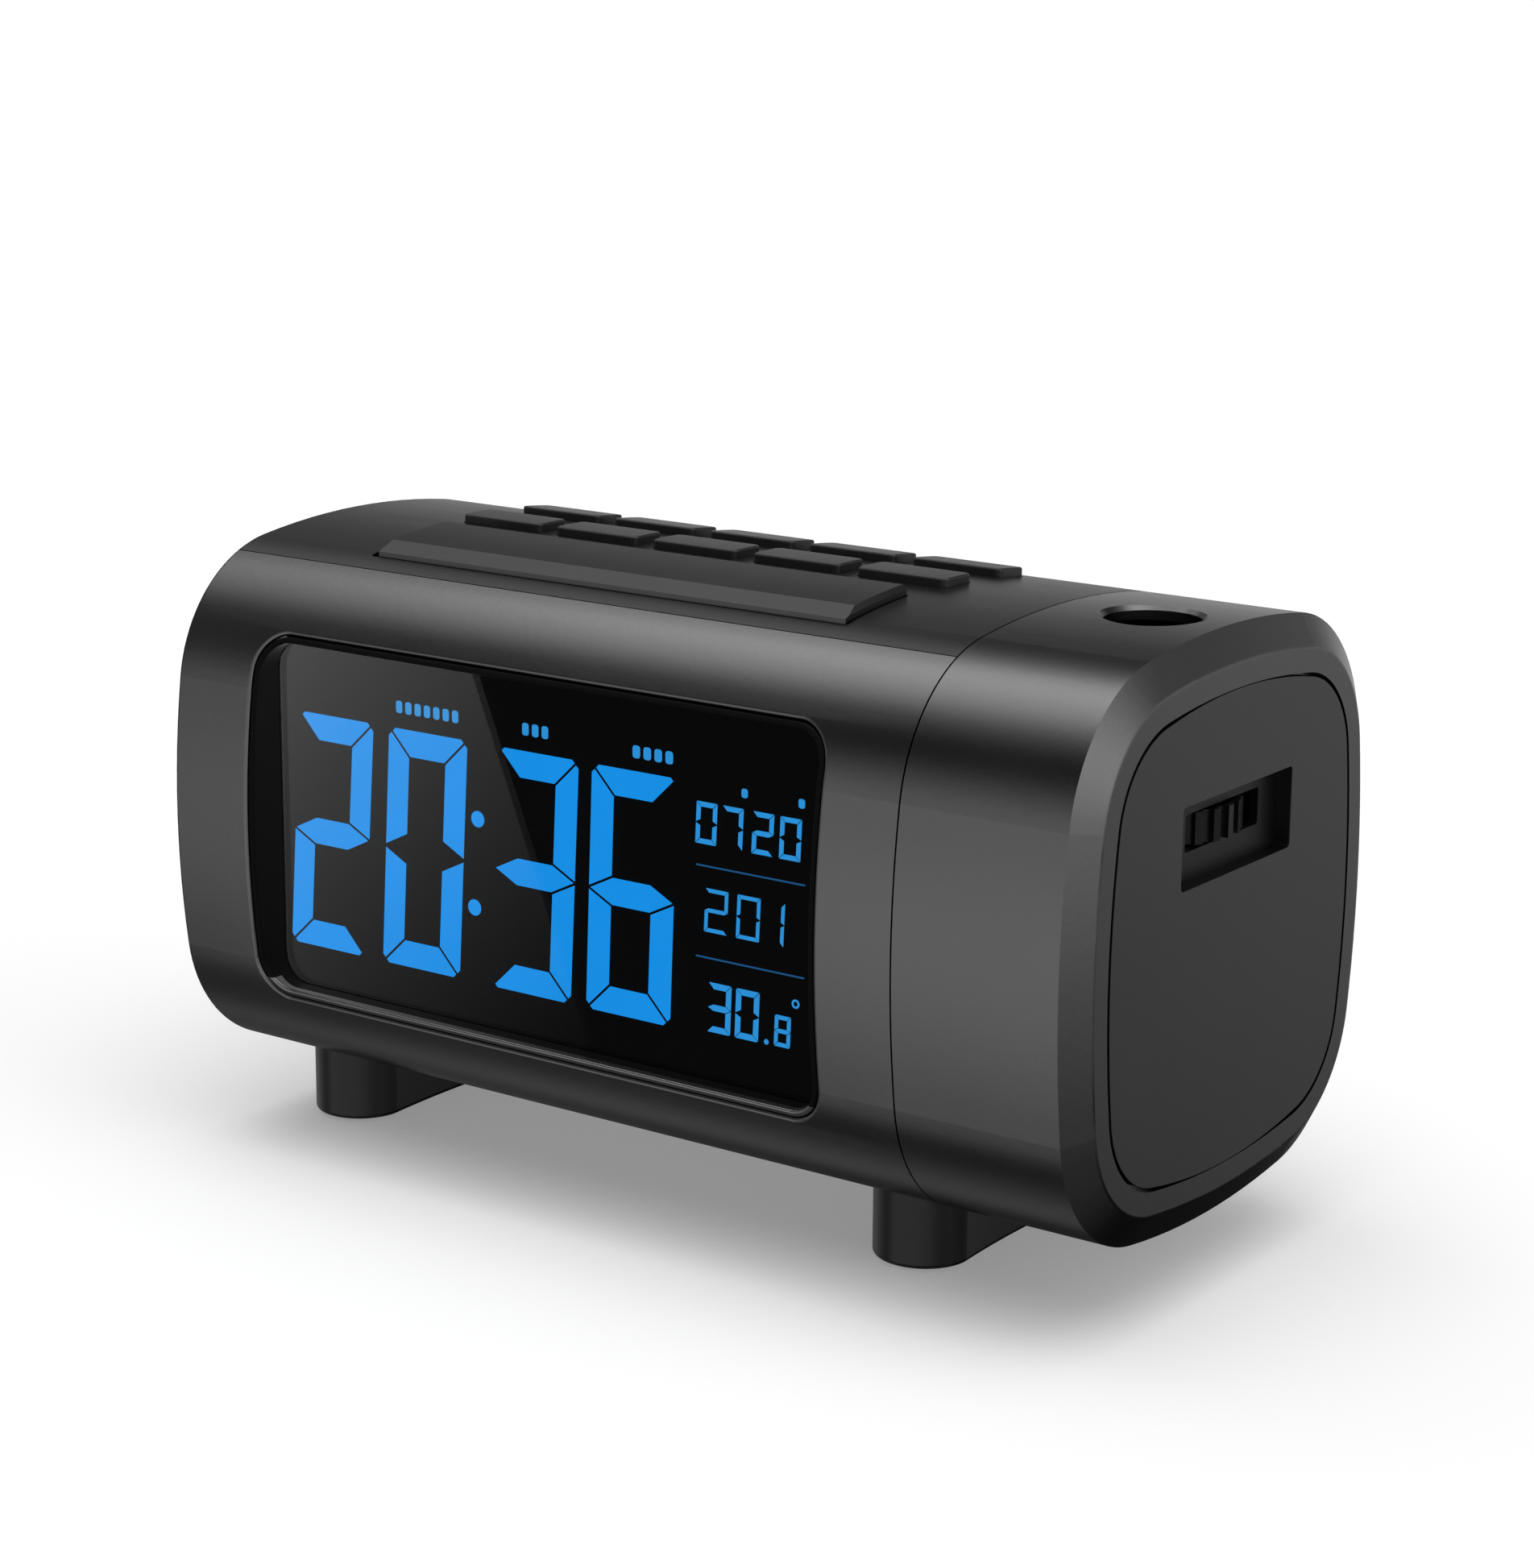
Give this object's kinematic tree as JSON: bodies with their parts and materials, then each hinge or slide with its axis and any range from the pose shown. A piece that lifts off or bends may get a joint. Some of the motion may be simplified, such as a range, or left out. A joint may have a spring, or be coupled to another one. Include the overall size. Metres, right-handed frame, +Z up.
{
  "type": "projection alarm clock",
  "caption": "Desk alarm clock with a wide display window, a turning projector head at one end, push keys and a snooze bar on top, and bar feet.",
  "frame": {"origin": "on the floor, under the middle of the body's box", "axes": "+X along the body towards the projector head, -Y out of the display, +Z up"},
  "size_m": [0.185, 0.0956, 0.1097],
  "materials": {
    "casing_grey": "fine satin grey, lightly metallic",
    "cover_black": "satin",
    "end_black": "satin",
    "key_black": "satin",
    "bezel_black": "gloss",
    "window_dark": "polished dark smoke",
    "lcd_glass": "clear",
    "inner_white": "matte white",
    "zebra_rubber": "matte",
    "board_green": "solder mask green",
    "switch_black": "matte black",
    "steel": "plated steel",
    "nickel": "nickel plated",
    "cone_black": "paper cone",
    "socket_black": "matte black",
    "foot_grey": "satin dark grey",
    "pad_rubber": "matte",
    "cable_black": "matte sheath",
    "sink_aluminium": "anodised",
    "lens_glass": "coated",
    "segment_blue": "lit display segments",
    "wheel_black": "satin ribbed",
    "lens_black": "matte black"
  },
  "bodies": {
    "main_body": {"front_shell": "casing_grey", "rear_shell": "casing_grey", "top_cover": "cover_black", "left_end_cap": "end_black", "display_bezel": "bezel_black", "display_window": "window_dark", "lcd_glass": "lcd_glass", "lcd_frame": "inner_white", "zebra_strips": "zebra_rubber", "light_guide": "inner_white", "led_strip": "board_green", "main_board": "board_green", "key_board": "board_green", "key_switches": "switch_black", "ribbon_cable": "inner_white", "speaker": "steel", "speaker_cone": "cone_black", "speaker_clamp": "switch_black", "io_board": "board_green", "dc_inlet": "socket_black", "usb_port": "steel", "battery_box": "switch_black", "battery_contacts": "nickel", "foot_left": "foot_grey", "foot_right": "foot_grey", "foot_pads": "pad_rubber", "foot_screws": "steel", "shell_screws": "steel", "board_screws": "steel", "bearing_bulkhead": "switch_black", "friction_spring": "steel", "body_cable": "cable_black"},
    "projector_head": {"head_shell": "casing_grey", "head_end_panel": "end_black", "hub_retainer": "switch_black", "projector_frame": "switch_black", "head_screws": "steel", "projector_board": "board_green", "heat_sink": "sink_aluminium", "condenser_lens": "lens_glass", "projection_lcd": "lcd_glass", "lens_spacers": "switch_black", "head_cable": "cable_black"},
    "focus_wheel": {"focus_wheel": "wheel_black"},
    "lens_carriage": {"lens_cell": "lens_black", "projection_lens": "lens_glass", "rear_lens": "lens_glass"},
    "snooze_bar": {"snooze_bar": "cover_black"},
    "battery_door": {"battery_door": "casing_grey"},
    "key_front_1": {"key_front_1": "key_black"},
    "key_front_2": {"key_front_2": "key_black"},
    "key_front_3": {"key_front_3": "key_black"},
    "key_front_4": {"key_front_4": "key_black"},
    "key_front_5": {"key_front_5": "key_black"},
    "key_rear_1": {"key_rear_1": "key_black"},
    "key_rear_2": {"key_rear_2": "key_black"},
    "key_rear_3": {"key_rear_3": "key_black"},
    "key_rear_4": {"key_rear_4": "key_black"},
    "key_rear_5": {"key_rear_5": "key_black"}
  },
  "joints": [
    {"name": "head_turn", "type": "hinge", "parent": "main_body", "child": "projector_head", "pos_m": [0.06, 0, 0.0604], "axis": [1, 0, 0], "range_deg": [-90, 90]},
    {"name": "focus_turn", "type": "hinge", "parent": "projector_head", "child": "focus_wheel", "pos_m": [0.07625, 0, 0.0774], "axis": [0, 0, 1], "range_deg": [-150, 150]},
    {"name": "lens_slide", "type": "slide", "parent": "projector_head", "child": "lens_carriage", "axis": [0, 0, 1], "range_m": [-0.00166, 0.00166]},
    {"name": "snooze_press", "type": "slide", "parent": "main_body", "child": "snooze_bar", "axis": [0, 0, -1], "range_m": [0, 0.001], "stiffness_N_per_m": 600},
    {"name": "battery_door_swing", "type": "hinge", "parent": "main_body", "child": "battery_door", "pos_m": [-0.01625, 0.0108, 0.01386], "axis": [1, 0, 0], "range_deg": [0, 80]},
    {"name": "key_front_1_press", "type": "slide", "parent": "main_body", "child": "key_front_1", "axis": [0, 0, -1], "range_m": [0, 0.0008], "stiffness_N_per_m": 600},
    {"name": "key_front_2_press", "type": "slide", "parent": "main_body", "child": "key_front_2", "axis": [0, 0, -1], "range_m": [0, 0.0008], "stiffness_N_per_m": 600},
    {"name": "key_front_3_press", "type": "slide", "parent": "main_body", "child": "key_front_3", "axis": [0, 0, -1], "range_m": [0, 0.0008], "stiffness_N_per_m": 600},
    {"name": "key_front_4_press", "type": "slide", "parent": "main_body", "child": "key_front_4", "axis": [0, 0, -1], "range_m": [0, 0.0008], "stiffness_N_per_m": 600},
    {"name": "key_front_5_press", "type": "slide", "parent": "main_body", "child": "key_front_5", "axis": [0, 0, -1], "range_m": [0, 0.0008], "stiffness_N_per_m": 600},
    {"name": "key_rear_1_press", "type": "slide", "parent": "main_body", "child": "key_rear_1", "axis": [0, 0, -1], "range_m": [0, 0.0008], "stiffness_N_per_m": 600},
    {"name": "key_rear_2_press", "type": "slide", "parent": "main_body", "child": "key_rear_2", "axis": [0, 0, -1], "range_m": [0, 0.0008], "stiffness_N_per_m": 600},
    {"name": "key_rear_3_press", "type": "slide", "parent": "main_body", "child": "key_rear_3", "axis": [0, 0, -1], "range_m": [0, 0.0008], "stiffness_N_per_m": 600},
    {"name": "key_rear_4_press", "type": "slide", "parent": "main_body", "child": "key_rear_4", "axis": [0, 0, -1], "range_m": [0, 0.0008], "stiffness_N_per_m": 600},
    {"name": "key_rear_5_press", "type": "slide", "parent": "main_body", "child": "key_rear_5", "axis": [0, 0, -1], "range_m": [0, 0.0008], "stiffness_N_per_m": 600}
  ],
  "couplings": [
    {"joint": "focus_turn", "follows": "lens_slide", "rad_per_m": 1570.8}
  ]
}
